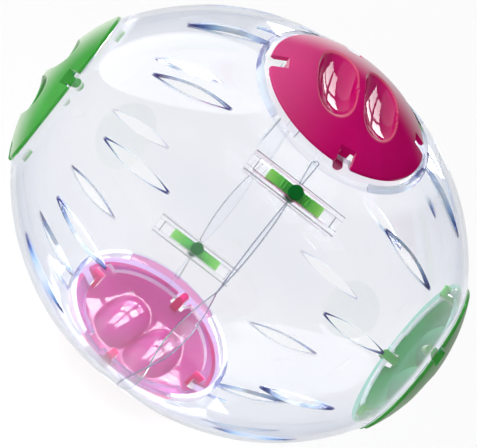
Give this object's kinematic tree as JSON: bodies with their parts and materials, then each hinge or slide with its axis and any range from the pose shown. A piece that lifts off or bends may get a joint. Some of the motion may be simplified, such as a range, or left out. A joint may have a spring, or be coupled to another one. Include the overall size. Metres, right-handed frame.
{
  "type": "hamster exercise ball",
  "caption": "Clear egg-shaped exercise ball with vent slots, in two half shells joined at a waving seam by slide latches, with twist-in caps at its ends and sides.",
  "frame": {"origin": "centre of the ball", "axes": "+X along the long axis, out through one green end cap; +Z out through one pink side cap; -Y on the side of the front latch"},
  "size_m": [0.1844, 0.152, 0.158],
  "materials": {
    "shell_clear": "clear polished plastic with a faint lavender tint",
    "cap_green": "glossy tinted translucent green",
    "cap_pink": "glossy tinted translucent magenta pink",
    "latch_green": "glossy translucent light green",
    "peg_green": "glossy dark green"
  },
  "bodies": {
    "ball": {"half_shell_left": "shell_clear", "half_shell_right": "shell_clear"},
    "top_cap": {"side_cap_top": "cap_pink"},
    "bottom_cap": {"side_cap_bottom": "cap_pink"},
    "left_cap": {"end_cap_left": "cap_green"},
    "right_cap": {"end_cap_right": "cap_green"},
    "front_latch": {"latch_bar_front": "latch_green", "latch_peg_front": "peg_green"},
    "back_latch": {"latch_bar_back": "latch_green", "latch_peg_back": "peg_green"}
  },
  "joints": [
    {"name": "top_cap_twist", "type": "hinge", "parent": "ball", "child": "top_cap", "pos_m": [0, 0, 0.069], "axis": [0, 0, 1], "range_deg": [0, 15]},
    {"name": "bottom_cap_twist", "type": "hinge", "parent": "ball", "child": "bottom_cap", "pos_m": [0, 0, -0.069], "axis": [0, 0, -1], "range_deg": [0, 15]},
    {"name": "left_cap_twist", "type": "hinge", "parent": "ball", "child": "left_cap", "pos_m": [-0.0822, 0, 0], "axis": [-1, 0, 0], "range_deg": [0, 15]},
    {"name": "right_cap_twist", "type": "hinge", "parent": "ball", "child": "right_cap", "pos_m": [0.0822, 0, 0], "axis": [1, 0, 0], "range_deg": [0, 15]},
    {"name": "front_latch_slide", "type": "slide", "parent": "ball", "child": "front_latch", "axis": [1, 0, 0], "range_m": [-0.0047, 0.0047]},
    {"name": "back_latch_slide", "type": "slide", "parent": "ball", "child": "back_latch", "axis": [1, 0, 0], "range_m": [-0.0047, 0.0047]}
  ]
}
